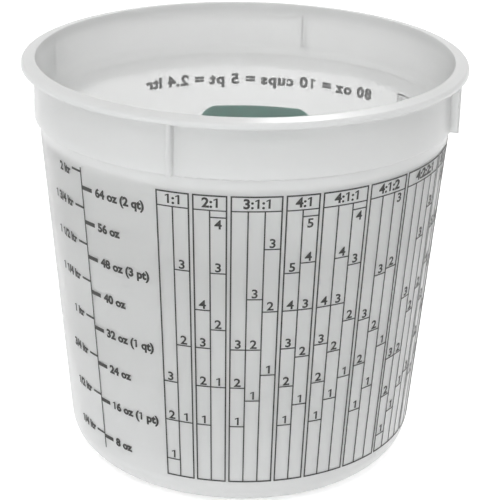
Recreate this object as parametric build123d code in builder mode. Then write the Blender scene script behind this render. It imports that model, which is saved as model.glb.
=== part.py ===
from build123d import *
import os
from math import cos, degrees, pi, radians, sin, tan

# Resin mixing cup: one moulded cup and the ink printed on its wall.
# Sizes are millimetres and degrees. The cup stands on Z = 0 and its axis is Z.
# A place round the wall is an angle: 0 faces -Y and it grows towards +X.

# Moulded cup
cup_height = 157.3
base_radius = 67.2  # outside of the wall, carried down to the base plane
wall_angle = 4.4
wall = 1.0
floor_thickness = 1.0
base_corner = 12.5  # outside radius between the base and the wall

# Recess under the floor, inside the ring that the cup stands on
foot_width = 20.2  # from the recess out to the base radius
foot_height = 1.2
foot_slope = 2.0
foot_edge = 0.5
gate_radius = 2.5
gate_height = 0.4

# Collar above the shoulder
collar_height = 22.3  # from the shoulder to the top of the rim
collar_wall = 1.3
collar_lean = 0.5  # the outside draws in by this up to the lip
collar_draft = 0.25  # the bore opens by this up to the crest
shoulder_width = 1.66  # out from the tapered wall
shoulder_edge = 0.7
bore_rise = 4.0  # height above the shoulder over which the bore widens
bore_round = 8.0

# Rim, a lip that slopes down outwards
lip_width = 4.75  # out from the top of the collar
lip_height = 2.9
lip_edge_height = 1.9
lip_edge_round = 1.5
crest_width = 0.9
crest_round = 0.4
lip_root_round = 0.6
lip_under_round = 0.35

# Ribs between the shoulder and the rim
rib_count = 4
first_rib_angle = -18.0
rib_thickness = 2.0
rib_reach = 3.1  # out from the collar's lower edge
rib_foot_gap = 0.7
rib_round = 0.9

# Ink
ink_lift = 0.1
ink_depth = 0.06
frame_line = 0.55
divider_line = 0.5
mark_line = 0.45
cut_overrun = 1.0

# Ratio charts, their angles taken to the middle of their lines
first_chart_angle = -22.54
column_angle = 4.31
chart_gap_angle = 1.19
chart_low_margin = 0.1  # above the rounded base corner
chart_top_margin = 6.0  # below the shoulder
header_height = 5.7
least_cell = 2.4

# Volume scale
scale_angle = -47.9
scale_line = 0.5
scale_low_margin = 1.1
scale_top_margin = 0.3
scale_end = 1.0  # least line left beyond its first and last mark
ounce_bar_length = 5.5
ounce_bar_height = 1.55
litre_tick_length = 5.35
litre_tick_height = 0.8
ounce_step_count = 8
ounce_mark_count = 8
litre_step_share = 0.25
litre_mark_count = 8

# Plain green panel at the back
panel_angle = 176.0
panel_width = 49.0
panel_height = 15.0
panel_top_drop = 16.2  # below the top line of the charts

# A litre and a fluid ounce each fill a cube of this edge
litre_edge = 100.0
ounce_edge = 30.924

# Each chart: parts of its ratio, the share of a litre at the first mark of its first
# column, the share between marks, and how many marks a column has
chart_shares = {
    "chart_1_1": ((1, 1), 0.25, 0.25, 3),
    "chart_2_1": ((2, 1), 0.5, 0.25, 4),
    "chart_3_1_1": ((3, 1, 1), 0.5, 0.25, 3),
    "chart_4_1": ((4, 1), 0.5, 0.25, 5),
    "chart_4_1_1": ((4, 1, 1), 0.5, 0.25, 4),
    "chart_4_1_2": ((4, 1, 2), 0.5, 0.3, 3),
    "chart_4_2_2_1": ((4, 2, 2, 1), 0.25, 0.25, 3),
    "chart_5_1": ((5, 1), 0.5, 0.25, 5),
    "chart_6_1": ((6, 1), 0.5, 0.25, 5),
    "chart_7_1": ((7, 1), 0.5, 0.25, 5),
    "chart_8_1": ((8, 1), 0.5, 0.25, 5),
    "chart_9_1": ((9, 1), 0.5, 0.25, 5),
    "chart_10_1": ((10, 1), 0.5, 0.25, 5),
}

slope = tan(radians(wall_angle))


def wall_radius(height):
    """Outside of the tapered wall at a height."""
    return base_radius + slope * height


def inner_radius(height):
    """Inside of the tapered wall at a height."""
    return wall_radius(height) - wall


# Sizes that follow
inner_corner = base_corner - wall
foot_radius = base_radius - foot_width
raised_floor = floor_thickness + foot_height
collar_base = cup_height - collar_height
collar_low_radius = wall_radius(collar_base) + shoulder_width
collar_top_radius = collar_low_radius - collar_lean
collar_inner_radius = collar_low_radius - collar_wall
crest_inner_radius = collar_inner_radius + collar_draft
crest_outer_radius = crest_inner_radius + crest_width
lip_base = cup_height - lip_height
lip_radius = collar_top_radius + lip_width
chart_bottom = base_corner + chart_low_margin
chart_top = collar_base - chart_top_margin
header_base = chart_top - header_height
litre = litre_edge**3
ounce = ounce_edge**3

# The space inside, up to the bottom line of the charts, gives the volume below it
with BuildPart() as low_space:
    with BuildSketch(Plane.XZ):
        with BuildLine():
            inside = FilletPolyline(
                (0, raised_floor),
                (foot_radius - foot_slope, raised_floor),
                (foot_radius, floor_thickness),
                (inner_radius(floor_thickness), floor_thickness),
                (inner_radius(chart_bottom), chart_bottom),
                radius=[foot_edge, foot_edge, inner_corner],
            )
            Line(inside @ 1, (0, chart_bottom))
            Line((0, chart_bottom), inside @ 0)
        make_face()
    revolve(axis=Axis.Z)
low_volume = low_space.part.volume


def fill_height(volume):
    """Height that a volume reaches inside the tapered wall."""
    low_radius = inner_radius(chart_bottom)
    cubed_radius = low_radius**3 + 3 * slope * (volume - low_volume) / pi
    return chart_bottom + (cubed_radius ** (1 / 3) - low_radius) / slope


def wall_plane(angle):
    """Upright plane through the axis, its X pointing at an angle round the wall."""
    turn = radians(angle)
    return Plane(origin=(0, 0, 0), x_dir=(sin(turn), -cos(turn), 0), z_dir=(-cos(turn), -sin(turn), 0))


def wall_patch(low, high, start, sweep, near, far, mode=Mode.ADD):
    """A patch that follows the wall between two heights, from near to far off it."""
    with BuildSketch(wall_plane(start)) as section:
        with BuildLine():
            Polyline(
                (wall_radius(low) + near, low),
                (wall_radius(low) + far, low),
                (wall_radius(high) + far, high),
                (wall_radius(high) + near, high),
                close=True,
            )
        make_face()
    revolve(section.sketch, axis=Axis.Z, revolution_arc=sweep, mode=mode)


def ink(low, high, start, sweep):
    """Print between two heights."""
    wall_patch(low, high, start, sweep, ink_lift, ink_lift + ink_depth)


def window(low, high, start, sweep):
    """A blank cell cut through the print."""
    wall_patch(low, high, start, sweep, -cut_overrun, cut_overrun, Mode.SUBTRACT)


def turn_of(length, height):
    """Angle that a length takes round the wall at a height."""
    return degrees(length / wall_radius(height))


# The moulded cup
with BuildPart() as cup:
    with BuildSketch(Plane.XZ):
        with BuildLine():
            outline = FilletPolyline(
                (0, foot_height),
                (foot_radius - foot_slope, foot_height),
                (foot_radius, 0),
                (base_radius, 0),
                (wall_radius(collar_base), collar_base),
                (collar_low_radius, collar_base),
                (collar_top_radius, lip_base),
                (lip_radius, lip_base),
                (lip_radius, lip_base + lip_edge_height),
                (crest_outer_radius, cup_height),
                (crest_inner_radius, cup_height),
                (collar_inner_radius, collar_base + bore_rise),
                (inner_radius(collar_base), collar_base),
                (inner_radius(floor_thickness), floor_thickness),
                (foot_radius, floor_thickness),
                (foot_radius - foot_slope, raised_floor),
                (0, raised_floor),
                radius=[
                    foot_edge,
                    foot_edge,
                    base_corner,
                    shoulder_edge,
                    shoulder_edge,
                    lip_root_round,
                    lip_under_round,
                    lip_edge_round,
                    crest_round,
                    crest_round,
                    bore_round,
                    bore_round,
                    inner_corner,
                    foot_edge,
                    foot_edge,
                ],
            )
            Line(outline @ 1, outline @ 0)
        make_face()
    revolve(axis=Axis.Z)

    # Gate mark under the floor
    with BuildSketch(Plane.XY.offset(foot_height)):
        Circle(gate_radius)
    extrude(amount=-gate_height)

with BuildPart() as rib:
    rib_root = collar_low_radius - collar_wall / 2
    rib_tip = collar_low_radius + rib_reach
    with BuildSketch(Plane.XY.offset(collar_base + rib_foot_gap)) as rib_section:
        with Locations(((rib_root + rib_tip) / 2, 0)):
            Rectangle(rib_tip - rib_root, rib_thickness)
        fillet(rib_section.vertices().group_by(Axis.X)[-1], rib_round)
    extrude(amount=lip_base - collar_base - rib_foot_gap + lip_edge_height / 2)

with BuildPart() as finished_cup:
    add(cup.part)
    with PolarLocations(0, rib_count, start_angle=first_rib_angle - 90):
        add(rib.part)
finished_cup.part.label = "cup"


def spaces(marks, line, low, high):
    """Blank spaces that are left between the lines of marks, from low to high."""
    lows = [low] + [mark + line / 2 for mark in marks]
    highs = [mark - line / 2 for mark in marks] + [high]
    return zip(lows, highs)


# Volume scale: a plate of ink with its blanks cut out, which leaves the upright line,
# the ounce bars to the right of it and the litre ticks to the left
scale_bottom = chart_bottom + scale_low_margin
scale_top = chart_top + scale_top_margin
line_turn = turn_of(scale_line, header_base)
bar_turn = turn_of(ounce_bar_length, header_base)
tick_turn = turn_of(litre_tick_length, header_base)
low_end = scale_bottom - cut_overrun
high_end = scale_top + cut_overrun


def scale_marks(step, count):
    """Heights of a scale's marks, those that fit on its line."""
    heights = [fill_height(step * (i + 1)) for i in range(count)]
    return [height for height in heights if scale_bottom + scale_end < height < scale_top - scale_end]


ounce_heights = scale_marks(ounce_step_count * ounce, ounce_mark_count)
litre_heights = scale_marks(litre_step_share * litre, litre_mark_count)
with BuildPart() as volume_scale:
    ink(scale_bottom, scale_top, scale_angle - tick_turn, tick_turn + bar_turn)
    for low, high in spaces(ounce_heights, ounce_bar_height, low_end, high_end):
        window(low, high, scale_angle + line_turn / 2, bar_turn)
    for low, high in spaces(litre_heights, litre_tick_height, low_end, high_end):
        window(low, high, scale_angle - line_turn / 2 - tick_turn, tick_turn)
volume_scale.part.label = "volume_scale"


def column_marks(parts, column, first_share, step_share, count):
    """Heights of the marks in one column of a chart, those that fit below its header."""
    filled_share = sum(parts[: column + 1]) / parts[0]
    heights = [fill_height((first_share + step_share * i) * filled_share * litre) for i in range(count)]
    return [height for height in heights if chart_bottom + least_cell < height < header_base - least_cell]


# Ratio charts: a framed plate of ink with its cells cut out
frame_turn = turn_of(frame_line, header_base)
divider_turn = turn_of(divider_line, header_base)
chart_angle = first_chart_angle
chart_parts = []
for name, (parts, first_share, step_share, count) in chart_shares.items():
    width_angle = column_angle * len(parts)
    with BuildPart() as chart:
        ink(chart_bottom, chart_top, chart_angle - frame_turn / 2, width_angle + frame_turn)
        window(
            header_base + mark_line / 2,
            chart_top - frame_line,
            chart_angle + frame_turn / 2,
            width_angle - frame_turn,
        )
        for column in range(len(parts)):
            left_line = frame_turn if column == 0 else divider_turn
            right_line = frame_turn if column == len(parts) - 1 else divider_turn
            left = chart_angle + column * column_angle + left_line / 2
            right = chart_angle + (column + 1) * column_angle - right_line / 2
            marks = column_marks(parts, column, first_share, step_share, count)
            for low, high in spaces(marks, mark_line, chart_bottom + frame_line, header_base - mark_line / 2):
                window(low, high, left, right - left)
    chart.part.label = name
    chart_parts.append(chart.part)
    chart_angle += width_angle + chart_gap_angle

# Green panel with round ends
panel_top = chart_top - panel_top_drop
panel_middle = panel_top - panel_height / 2
panel_turn = turn_of(panel_width + panel_height, panel_middle)
facing = radians(panel_angle)
panel_plane = Plane(
    origin=(0, 0, panel_middle),
    x_dir=(cos(facing), sin(facing), 0),
    z_dir=(sin(facing), -cos(facing), 0),
)
with BuildPart() as green_panel:
    ink(panel_top - panel_height, panel_top, panel_angle - panel_turn / 2, panel_turn)
    with BuildSketch(panel_plane):
        SlotOverall(panel_width, panel_height)
    extrude(amount=lip_radius, mode=Mode.INTERSECT)
green_panel.part.label = "green_panel"

os.makedirs("parts", exist_ok=True)
export_step(finished_cup.part, "parts/cup.step")
export_step(volume_scale.part, "parts/volume_scale.step")
export_step(green_panel.part, "parts/green_panel.step")
for part in chart_parts:
    export_step(part, f"parts/{part.label}.step")
print("litres below the charts", round(low_volume / litre, 4))
print("ounce marks", [round(height, 1) for height in ounce_heights])
print("litre marks", [round(height, 1) for height in litre_heights])
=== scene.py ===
from math import cos, pi, radians, sin, tan

import bmesh
import bpy
from mathutils import Matrix, Vector


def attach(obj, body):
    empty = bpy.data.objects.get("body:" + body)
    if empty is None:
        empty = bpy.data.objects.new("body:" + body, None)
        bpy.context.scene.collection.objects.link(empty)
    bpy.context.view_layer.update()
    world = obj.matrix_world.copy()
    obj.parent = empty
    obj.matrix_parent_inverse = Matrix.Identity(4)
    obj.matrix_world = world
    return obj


# Resin mixing cup. Sizes here are millimetres and degrees, and MM turns them into metres.
# A place round the wall is an angle: 0 faces -Y and it grows towards +X.

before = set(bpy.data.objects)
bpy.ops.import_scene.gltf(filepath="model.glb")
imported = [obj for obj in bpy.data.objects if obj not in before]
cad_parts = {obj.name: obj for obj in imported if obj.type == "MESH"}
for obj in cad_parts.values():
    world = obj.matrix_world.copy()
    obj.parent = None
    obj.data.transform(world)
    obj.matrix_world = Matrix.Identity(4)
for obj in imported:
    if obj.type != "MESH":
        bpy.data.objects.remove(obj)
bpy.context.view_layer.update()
MM = 0.001

# The wall and its ink, as the cup's own sizes give them
BASE_RADIUS = 67.2
WALL_ANGLE = 4.4
SLOPE = tan(radians(WALL_ANGLE))
WALL = 1.0
INK_LIFT = 0.1
INK_DEPTH = 0.06

# A litre and a fluid ounce each fill a cube of this edge
LITRE_EDGE = 100.0
OUNCE_EDGE = 30.924
LITRE = LITRE_EDGE**3
OUNCE = OUNCE_EDGE**3

# Ratio charts, and the volume that the cup holds below their bottom line
CHART_BOTTOM = 12.6
LOW_VOLUME = 144700.0
CHART_TOP = 129.0
HEADER_BASE = 123.3
FIRST_CHART_ANGLE = -22.54
COLUMN_ANGLE = 4.31
CHART_GAP_ANGLE = 1.19
CELL_GAP = 0.65
HUNG_GAP = 1.0

# Each chart: parts of its ratio, litres at its first mark, litres between marks, marks
CHARTS = {
    "chart_1_1": ((1, 1), 0.25, 0.25, 3),
    "chart_2_1": ((2, 1), 0.5, 0.25, 4),
    "chart_3_1_1": ((3, 1, 1), 0.5, 0.25, 3),
    "chart_4_1": ((4, 1), 0.5, 0.25, 5),
    "chart_4_1_1": ((4, 1, 1), 0.5, 0.25, 4),
    "chart_4_1_2": ((4, 1, 2), 0.5, 0.3, 3),
    "chart_4_2_2_1": ((4, 2, 2, 1), 0.25, 0.25, 3),
    "chart_5_1": ((5, 1), 0.5, 0.25, 5),
    "chart_6_1": ((6, 1), 0.5, 0.25, 5),
    "chart_7_1": ((7, 1), 0.5, 0.25, 5),
    "chart_8_1": ((8, 1), 0.5, 0.25, 5),
    "chart_9_1": ((9, 1), 0.5, 0.25, 5),
    "chart_10_1": ((10, 1), 0.5, 0.25, 5),
}

# Labels of the volume scale
OUNCE_STEP = 8
OUNCE_MARKS = 8
OUNCE_EQUALS = {16: " (1 pt)", 32: " (1 qt)", 48: " (3 pt)", 64: " (2 qt)"}
OUNCE_LABEL_ANGLE = -42.55
LITRE_STEP = 0.25
LITRE_MARKS = 8
QUARTERS = ("", "1/4", "1/2", "3/4")
LITRE_LABEL_ANGLE = -52.9
LABEL_DROP = 1.55
TOP_LITRE_DROP = 3.0

# Row of print at the back
BACK_ROW_WORDS = "80 oz = 10 cups = 5 pt = 2.4 ltr"
BACK_ROW_ANGLE = 174.7
BACK_ROW_HEIGHT = 122.4

# Each kind of print: the height of its figures, how much broader, heavier and wider set it is
# than the plain font, and whether the words start at, centre on or end at their angle
OUNCE_PRINT = {"digit": 3.1, "weight": 0.045}
LITRE_PRINT = {"digit": 3.1, "breadth": 0.92, "weight": 0.04, "align": "RIGHT"}
HEADER_PRINT = {"digit": 3.45, "breadth": 1.05, "weight": 0.03, "align": "CENTER"}
CELL_PRINT = {"digit": 3.25, "breadth": 1.08, "weight": 0.02, "align": "CENTER"}
BACK_ROW_PRINT = {"digit": 4.1, "breadth": 1.15, "weight": 0.05, "spacing": 1.15, "align": "CENTER"}

# Letters: steps in each of their curves, and half their depth in the font's units
FONT_RESOLUTION = 3
FONT_HALF_DEPTH = 0.5

# Points of the wrapped print that are nearer than this are merged
MERGE_DISTANCE = 0.001

# Figure one with a flag, as shares of a figure's height
ONE_ADVANCE_SHARE = 0.72
ONE_STEM_SHARES = (0.31, 0.47)
ONE_FLAG_SHARES = ((0.36, 1.0), (0.07, 0.85), (0.11, 0.73), (0.31, 0.83))

# Camera, fitted to the photograph, with its angles in radians
CAMERA_PLACE = (0.0, -570.6, 316.3)
CAMERA_PITCH = 0.39681
CAMERA_PAN = 0.0053993
CAMERA_ROLL = 0.0189789
FOCAL_PIXELS = 1569.6
IMAGE_PIXELS = 500
SENSOR_WIDTH = 36.0

# Plastic: the share of light that passes straight through it, by height. The thin wall and floor
# let print and white show through, and the base corner, shoulder, collar and rim are milkier.
CLEARNESS_BY_HEIGHT = [
    (0.0, 0.85),
    (2.4, 0.85),
    (4.0, 0.15),
    (11.0, 0.15),
    (18.0, 0.3),
    (60.0, 0.65),
    (90.0, 0.7),
    (98.0, 0.8),
    (129.0, 0.8),
    (132.0, 0.3),
    (136.0, 0.3),
    (141.0, 0.45),
    (150.0, 0.52),
    (154.0, 0.2),
]

# Plastic: painted shade, what its colour is multiplied by, by height: darker on the upper wall and rim
PAINTED_SHADE_BY_HEIGHT = [
    (0.0, 1.0),
    (80.0, 1.0),
    (98.0, 0.9),
    (129.0, 0.9),
    (131.5, 0.98),
    (152.0, 0.98),
    (155.0, 0.88),
    (157.0, 0.88),
]
PLASTIC_LIGHT = (0.88, 0.885, 0.88, 1)
PLASTIC_DARK = (0.855, 0.86, 0.855, 1)

# Plastic: its mottle and grain are noise, with the scale counted per metre
PLASTIC_MOTTLE = {"scale": 26.0, "detail": 3.0}
PLASTIC_MOTTLE_STOPS = (0.3, 0.7)
PLASTIC_GRAIN = {"scale": 900.0, "detail": 2.0}
PLASTIC_BUMP = {"strength": 0.06, "distance": 0.2 * MM}
PLASTIC_SHADER = {
    "Roughness": 0.3,
    "IOR": 1.49,
    "Specular IOR Level": 0.4,
    "Coat Weight": 0.25,
    "Coat Roughness": 0.12,
    "Subsurface Weight": 1.0,
    "Subsurface Radius": (1.0, 1.0, 1.0),
    "Subsurface Scale": 4.0 * MM,
}

# Ink
DARK_INK = ((0.030, 0.030, 0.028, 1), (0.055, 0.054, 0.050, 1))
DARK_INK_CLEARNESS = 0.0
GREEN_INK = ((0.0, 0.40, 0.28, 1), (0.0, 0.46, 0.33, 1))
GREEN_INK_CLEARNESS = 0.4
INK_MOTTLE = {"scale": 700.0, "detail": 4.0, "roughness": 0.6}
INK_MOTTLE_STOPS = (0.35, 0.7)
INK_GRAIN = {"scale": 2500.0, "detail": 2.0}
INK_BUMP = {"strength": 0.1, "distance": 0.05 * MM}
INK_SHADER = {"Roughness": 0.5, "Specular IOR Level": 0.35}

# Studio: the world's light on the cup, its white where it is seen, and the floor
WORLD_LEVEL = 0.64
WHITE_LEVEL = 1.0
FLOOR_ALBEDO = 0.9
FLOOR_GLOW = 0.5
FLOOR_EXTENT = 6000.0

# Each lamp: its place, its two sides, its watts and its colour
NEUTRAL = (1.0, 1.0, 1.0)
COOL = (0.9, 0.97, 1.0)
WARM = (1.0, 0.985, 0.97)
LAMP_AIM = (0, 0, 80)
LAMPS = {
    "key": ((-200, -1250, 1500), (1200, 350), 7.0, NEUTRAL),
    "low": ((-500, -1500, 100), (2200, 300), 4.4, COOL),
    "back": ((300, 1250, 1450), (500, 220), 3.8, NEUTRAL),
    "left": ((-1300, -900, 500), (900, 900), 1.6, NEUTRAL),
    "right": ((1100, -300, 1400), (900, 900), 1.3, WARM),
}

# Bounces of light in all and through the wall, which light passes many times before it leaves
# the cup, and bounces off surfaces
THROUGH_BOUNCES = 32
SURFACE_BOUNCES = 10


def wall_radius(height):
    """Outside of the tapered wall at a height."""
    return BASE_RADIUS + SLOPE * height


def fill_height(volume):
    """Height that a volume reaches inside the cup."""
    low_radius = wall_radius(CHART_BOTTOM) - WALL
    cubed_radius = low_radius**3 + 3 * SLOPE * (volume - LOW_VOLUME) / pi
    return CHART_BOTTOM + (cubed_radius ** (1 / 3) - low_radius) / SLOPE


# Materials


def grey(value):
    """A neutral colour."""
    return (value, value, value, 1.0)


def set_inputs(node, values):
    """Fixed values on a node's own sockets, by their names."""
    for name, value in values.items():
        node.inputs[name].default_value = value


def new_material(name):
    """A material with its node tree and Principled shader."""
    material = bpy.data.materials.new(name)
    material.use_nodes = True
    tree = material.node_tree
    return material, tree, tree.nodes["Principled BSDF"]


def noise(tree, scale, detail, roughness=0.5):
    """A noise texture on the object's own coordinates."""
    place = tree.nodes.new("ShaderNodeTexCoord")
    texture = tree.nodes.new("ShaderNodeTexNoise")
    set_inputs(texture, {"Scale": scale, "Detail": detail, "Roughness": roughness})
    tree.links.new(place.outputs["Object"], texture.inputs["Vector"])
    return texture.outputs["Fac"]


def ramp(tree, source, stops):
    """A colour ramp over a source, from (position, colour) stops."""
    node = tree.nodes.new("ShaderNodeValToRGB")
    elements = node.color_ramp.elements
    for element, (position, colour) in zip(elements, (stops[0], stops[-1])):
        element.position = position
        element.color = colour
    for position, colour in stops[1:-1]:
        elements.new(position).color = colour
    tree.links.new(source, node.inputs["Fac"])
    return node.outputs["Color"]


def bump(tree, shader, source, strength, distance):
    """Bump from a source into a shader's normal."""
    node = tree.nodes.new("ShaderNodeBump")
    set_inputs(node, {"Strength": strength, "Distance": distance})
    tree.links.new(source, node.inputs["Height"])
    tree.links.new(node.outputs["Normal"], shader.inputs["Normal"])


def profile(tree, source, stops):
    """A grey value that follows a length, from (millimetres, value) stops."""
    low = stops[0][0]
    high = stops[-1][0]
    place = tree.nodes.new("ShaderNodeMapRange")
    set_inputs(place, {"From Min": low * MM, "From Max": high * MM})
    tree.links.new(source, place.inputs["Value"])
    shares = [((at - low) / (high - low), grey(value)) for at, value in stops]
    return ramp(tree, place.outputs["Result"], shares)


def plastic_material():
    """Milky natural polypropylene: soft sheen, faint mottling, print on the far side shows through."""
    material, tree, shader = new_material("milky_polypropylene")
    mottle_stops = list(zip(PLASTIC_MOTTLE_STOPS, (PLASTIC_DARK, PLASTIC_LIGHT)))
    colour = ramp(tree, noise(tree, **PLASTIC_MOTTLE), mottle_stops)
    place = tree.nodes.new("ShaderNodeTexCoord")
    axes = tree.nodes.new("ShaderNodeSeparateXYZ")
    tree.links.new(place.outputs["Object"], axes.inputs[0])
    # Painted shade: the mottled colour is multiplied by a height profile that darkens the upper wall and
    # rim
    shaded_colour = tree.nodes.new("ShaderNodeVectorMath")
    shaded_colour.operation = "MULTIPLY"
    tree.links.new(colour, shaded_colour.inputs[0])
    tree.links.new(profile(tree, axes.outputs["Z"], PAINTED_SHADE_BY_HEIGHT), shaded_colour.inputs[1])
    tree.links.new(shaded_colour.outputs["Vector"], shader.inputs["Base Color"])
    clearness = profile(tree, axes.outputs["Z"], CLEARNESS_BY_HEIGHT)
    tree.links.new(clearness, shader.inputs["Transmission Weight"])
    set_inputs(shader, PLASTIC_SHADER)
    bump(tree, shader, noise(tree, **PLASTIC_GRAIN), **PLASTIC_BUMP)
    return material


def ink_material(name, colours, clearness):
    """Screen-printed ink: a little uneven in depth, with a soft sheen."""
    material, tree, shader = new_material(name)
    mottle_stops = list(zip(INK_MOTTLE_STOPS, colours))
    colour = ramp(tree, noise(tree, **INK_MOTTLE), mottle_stops)
    tree.links.new(colour, shader.inputs["Base Color"])
    set_inputs(shader, INK_SHADER)
    shader.inputs["Transmission Weight"].default_value = clearness
    bump(tree, shader, noise(tree, **INK_GRAIN), **INK_BUMP)
    return material


def paint(piece, material):
    """One material for the whole piece."""
    piece.data.materials.clear()
    piece.data.materials.append(material)


plastic = plastic_material()
dark_ink = ink_material("dark_ink", DARK_INK, DARK_INK_CLEARNESS)
green_ink = ink_material("green_ink", GREEN_INK, GREEN_INK_CLEARNESS)

own_materials = {"cup": plastic, "green_panel": green_ink}
for name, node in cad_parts.items():
    paint(node, own_materials.get(name, dark_ink))


# Printed numbers and units


def font_print(words, weight):
    """Mesh of words in the font's units, standing on Y = 0 with the front at Z = 1 and the back at 0."""
    curve = bpy.data.curves.new("words", "FONT")
    curve.body = words
    curve.offset = weight
    curve.resolution_u = FONT_RESOLUTION
    curve.extrude = FONT_HALF_DEPTH
    text = bpy.data.objects.new("words", curve)
    bpy.context.scene.collection.objects.link(text)
    bpy.context.view_layer.update()
    mesh = bpy.data.meshes.new_from_object(text.evaluated_get(bpy.context.evaluated_depsgraph_get()))
    bpy.data.objects.remove(text)
    bpy.data.curves.remove(curve)
    mesh.transform(Matrix.Translation((0, 0, FONT_HALF_DEPTH)))
    return mesh


def right_end(words):
    """Right end of words in the font's units."""
    return max(vertex.co.x for vertex in font_print(words, 0.0).vertices)


# Height of a figure in the font's units
FIGURE = max(vertex.co.y for vertex in font_print("1", 0.0).vertices)


def figure_one(weight):
    """Mesh of a figure one: an upright stem with a flag at its upper left."""
    left, right = (share * FIGURE for share in ONE_STEM_SHARES)
    flag = [(x * FIGURE, y * FIGURE) for x, y in ONE_FLAG_SHARES]
    outline = [(left - weight / 2, 0), (right + weight / 2, 0), (right + weight / 2, FIGURE)] + flag
    solid = bmesh.new()
    face = solid.faces.new([solid.verts.new((x, y, 0)) for x, y in outline])
    raised = bmesh.ops.extrude_face_region(solid, geom=[face])
    for item in raised["geom"]:
        if isinstance(item, bmesh.types.BMVert):
            item.co.z = 1
    bmesh.ops.triangulate(solid, faces=solid.faces[:])
    bmesh.ops.recalc_face_normals(solid, faces=solid.faces[:])
    mesh = bpy.data.meshes.new("one")
    solid.to_mesh(mesh)
    solid.free()
    return mesh


glyphs = {}
advances = {}


def glyph(letter, weight):
    """Mesh of one letter, made once."""
    if (letter, weight) not in glyphs:
        glyphs[letter, weight] = figure_one(weight) if letter == "1" else font_print(letter, weight)
    return glyphs[letter, weight]


def advance(letter):
    """Step from one letter to the next in the font's units."""
    if letter not in advances:
        step = right_end("H" + letter + "H") - right_end("HH")
        advances[letter] = ONE_ADVANCE_SHARE * FIGURE if letter == "1" else step
    return advances[letter]


class Print:
    """Print that gathers into one mesh wrapped round the wall."""

    def __init__(self, name):
        self.name = name
        self.points = []
        self.faces = []

    def add(self, words, angle, height, digit, breadth=1.0, weight=0.0, spacing=1.0, align="LEFT"):
        """Words whose figures stand on a height, placed at an angle round the wall."""
        points = []
        faces = []
        pen = 0.0
        for letter in words:
            if letter != " ":
                mesh = glyph(letter, weight)
                start = len(self.points) + len(points)
                points += [(pen + vertex.co.x, vertex.co.y, vertex.co.z) for vertex in mesh.vertices]
                faces += [[start + index for index in face.vertices] for face in mesh.polygons]
            pen += advance(letter) * spacing
        left = min(point[0] for point in points)
        right = max(point[0] for point in points)
        origin = {"LEFT": left, "CENTER": (left + right) / 2, "RIGHT": right}[align]
        scale = digit / FIGURE
        for across, up, out in points:
            level = height + up * scale
            radius = wall_radius(level) + INK_LIFT + INK_DEPTH * out
            turn = radians(angle) + (across - origin) * scale * breadth / wall_radius(height)
            self.points.append(Vector((radius * sin(turn), -radius * cos(turn), level)) * MM)
        self.faces += faces

    def finish(self, material):
        """The piece, riding on the cup."""
        mesh = bpy.data.meshes.new(self.name)
        mesh.from_pydata(self.points, [], self.faces)
        clean = bmesh.new()
        clean.from_mesh(mesh)
        bmesh.ops.remove_doubles(clean, verts=clean.verts, dist=MERGE_DISTANCE * MM)
        clean.to_mesh(mesh)
        clean.free()
        piece = bpy.data.objects.new(self.name, mesh)
        bpy.context.scene.collection.objects.link(piece)
        paint(piece, material)
        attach(piece, "root")


def ounce_labels():
    """Ounces to the right of the scale's line."""
    ounces = Print("ounce_labels")
    for i in range(1, OUNCE_MARKS + 1):
        amount = OUNCE_STEP * i
        height = fill_height(amount * OUNCE) - LABEL_DROP
        words = f"{amount} oz{OUNCE_EQUALS.get(amount, '')}"
        ounces.add(words, OUNCE_LABEL_ANGLE, height, **OUNCE_PRINT)
    ounces.finish(dark_ink)


def litre_labels():
    """Litres to the left of the scale's line, in quarters."""
    litres = Print("litre_labels")
    for i in range(1, LITRE_MARKS + 1):
        drop = TOP_LITRE_DROP if i == LITRE_MARKS else LABEL_DROP
        height = fill_height(LITRE_STEP * i * LITRE) - drop
        whole, quarters = divmod(i, len(QUARTERS))
        words = " ".join(word for word in (str(whole or ""), QUARTERS[quarters], "ltr") if word)
        litres.add(words, LITRE_LABEL_ANGLE, height, **LITRE_PRINT)
    litres.finish(dark_ink)


def chart_numbers():
    """The ratio over each chart and a number at each mark."""
    header_middle = (HEADER_BASE + CHART_TOP) / 2
    header_stands = header_middle - HEADER_PRINT["digit"] / 2
    cell_digit = CELL_PRINT["digit"]
    angle = FIRST_CHART_ANGLE
    for name, (parts, first, step, count) in CHARTS.items():
        numbers = Print(name.replace("chart", "numbers"))
        width = COLUMN_ANGLE * len(parts)
        ratio = ":".join(str(part) for part in parts)
        numbers.add(ratio, angle + width / 2, header_stands, **HEADER_PRINT)
        for column in range(len(parts)):
            middle = angle + (column + 0.5) * COLUMN_ANGLE
            filled_share = sum(parts[: column + 1]) / parts[0]
            for i in range(count):
                mark = min(fill_height((first + step * i) * filled_share * LITRE), HEADER_BASE)
                stands = mark + CELL_GAP
                if stands + cell_digit > HEADER_BASE:
                    stands = mark - HUNG_GAP - cell_digit
                numbers.add(str(i + 1), middle, stands, **CELL_PRINT)
        numbers.finish(dark_ink)
        angle += width + CHART_GAP_ANGLE


def back_row():
    """A plain row of print above the green panel."""
    row = Print("back_row")
    row.add(BACK_ROW_WORDS, BACK_ROW_ANGLE, BACK_ROW_HEIGHT, **BACK_ROW_PRINT)
    row.finish(dark_ink)


ounce_labels()
litre_labels()
chart_numbers()
back_row()


# Camera


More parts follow.
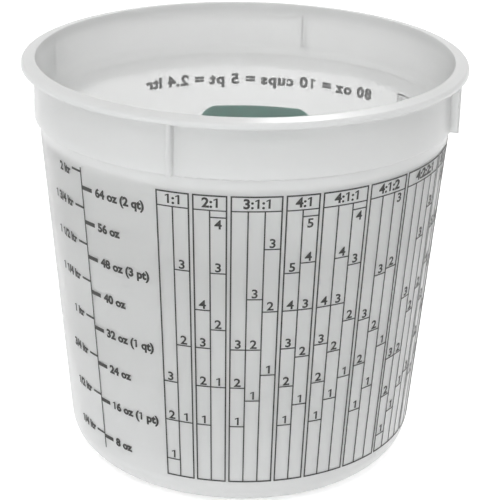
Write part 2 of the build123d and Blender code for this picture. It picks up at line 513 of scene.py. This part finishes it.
def make_camera():
    """Camera at the photograph's place and angle."""
    data = bpy.data.cameras.new("camera")
    camera = bpy.data.objects.new("camera", data)
    bpy.context.scene.collection.objects.link(camera)
    data.sensor_width = SENSOR_WIDTH
    data.lens = SENSOR_WIDTH * FOCAL_PIXELS / IMAGE_PIXELS
    forward = Vector((
        sin(CAMERA_PAN) * cos(CAMERA_PITCH),
        cos(CAMERA_PAN) * cos(CAMERA_PITCH),
        -sin(CAMERA_PITCH),
    ))
    level_right = Vector((cos(CAMERA_PAN), -sin(CAMERA_PAN), 0))
    level_up = level_right.cross(forward)
    right = cos(CAMERA_ROLL) * level_right + sin(CAMERA_ROLL) * level_up
    up = cos(CAMERA_ROLL) * level_up - sin(CAMERA_ROLL) * level_right
    turn = Matrix((right, up, -forward)).transposed()
    camera.matrix_world = Matrix.Translation(Vector(CAMERA_PLACE) * MM) @ turn.to_4x4()
    bpy.context.scene.camera = camera


# Studio


def area_light(name, place, sizes, watts, colour):
    """A soft box that faces the cup."""
    data = bpy.data.lights.new(name, "AREA")
    data.shape = "RECTANGLE"
    data.size = sizes[0] * MM
    data.size_y = sizes[1] * MM
    data.energy = watts
    data.color = colour
    light = bpy.data.objects.new(name, data)
    bpy.context.scene.collection.objects.link(light)
    light.location = Vector(place) * MM
    direction = (Vector(LAMP_AIM) - Vector(place)).normalized()
    light.rotation_mode = "QUATERNION"
    light.rotation_quaternion = direction.to_track_quat("-Z", "Y")


def seen_directly(tree):
    """1 for rays from the camera and for the glossy and transmitted rays that show what is behind."""
    path = tree.nodes.new("ShaderNodeLightPath")
    total = path.outputs["Is Camera Ray"]
    for name in ("Is Glossy Ray", "Is Transmission Ray"):
        larger = tree.nodes.new("ShaderNodeMath")
        larger.operation = "MAXIMUM"
        tree.links.new(total, larger.inputs[0])
        tree.links.new(path.outputs[name], larger.inputs[1])
        total = larger.outputs[0]
    return total


def background(tree, strength):
    """A white background shader's output."""
    node = tree.nodes.new("ShaderNodeBackground")
    set_inputs(node, {"Color": grey(1.0), "Strength": strength})
    return node.outputs[0]


def make_world():
    """White where it is seen, and an even soft light elsewhere."""
    world = bpy.data.worlds.new("studio")
    bpy.context.scene.world = world
    world.use_nodes = True
    tree = world.node_tree
    tree.nodes.clear()
    output = tree.nodes.new("ShaderNodeOutputWorld")
    mix = tree.nodes.new("ShaderNodeMixShader")
    tree.links.new(seen_directly(tree), mix.inputs["Fac"])
    tree.links.new(background(tree, WORLD_LEVEL), mix.inputs[1])
    tree.links.new(background(tree, WHITE_LEVEL), mix.inputs[2])
    tree.links.new(mix.outputs[0], output.inputs["Surface"])


def make_floor():
    """A white floor that keeps the cup's shadow."""
    mesh = bmesh.new()
    bmesh.ops.create_grid(mesh, x_segments=1, y_segments=1, size=FLOOR_EXTENT * MM)
    data = bpy.data.meshes.new("floor")
    mesh.to_mesh(data)
    mesh.free()
    floor = bpy.data.objects.new("floor", data)
    bpy.context.scene.collection.objects.link(floor)
    material, tree, shader = new_material("floor")
    set_inputs(shader, {
        "Base Color": grey(FLOOR_ALBEDO),
        "Roughness": 1.0,
        "Specular IOR Level": 0.0,
        "Emission Color": grey(1.0),
    })
    strength = tree.nodes.new("ShaderNodeMath")
    strength.operation = "MULTIPLY"
    strength.inputs[1].default_value = FLOOR_GLOW
    tree.links.new(seen_directly(tree), strength.inputs[0])
    tree.links.new(strength.outputs[0], shader.inputs["Emission Strength"])
    paint(floor, material)


make_camera()
make_world()
make_floor()
for name, (place, sizes, watts, colour) in LAMPS.items():
    area_light(name, place, sizes, watts, colour)

cycles = bpy.context.scene.cycles
cycles.max_bounces = THROUGH_BOUNCES
cycles.transmission_bounces = THROUGH_BOUNCES
cycles.diffuse_bounces = SURFACE_BOUNCES
cycles.glossy_bounces = SURFACE_BOUNCES

bpy.context.scene.view_settings.view_transform = "Standard"
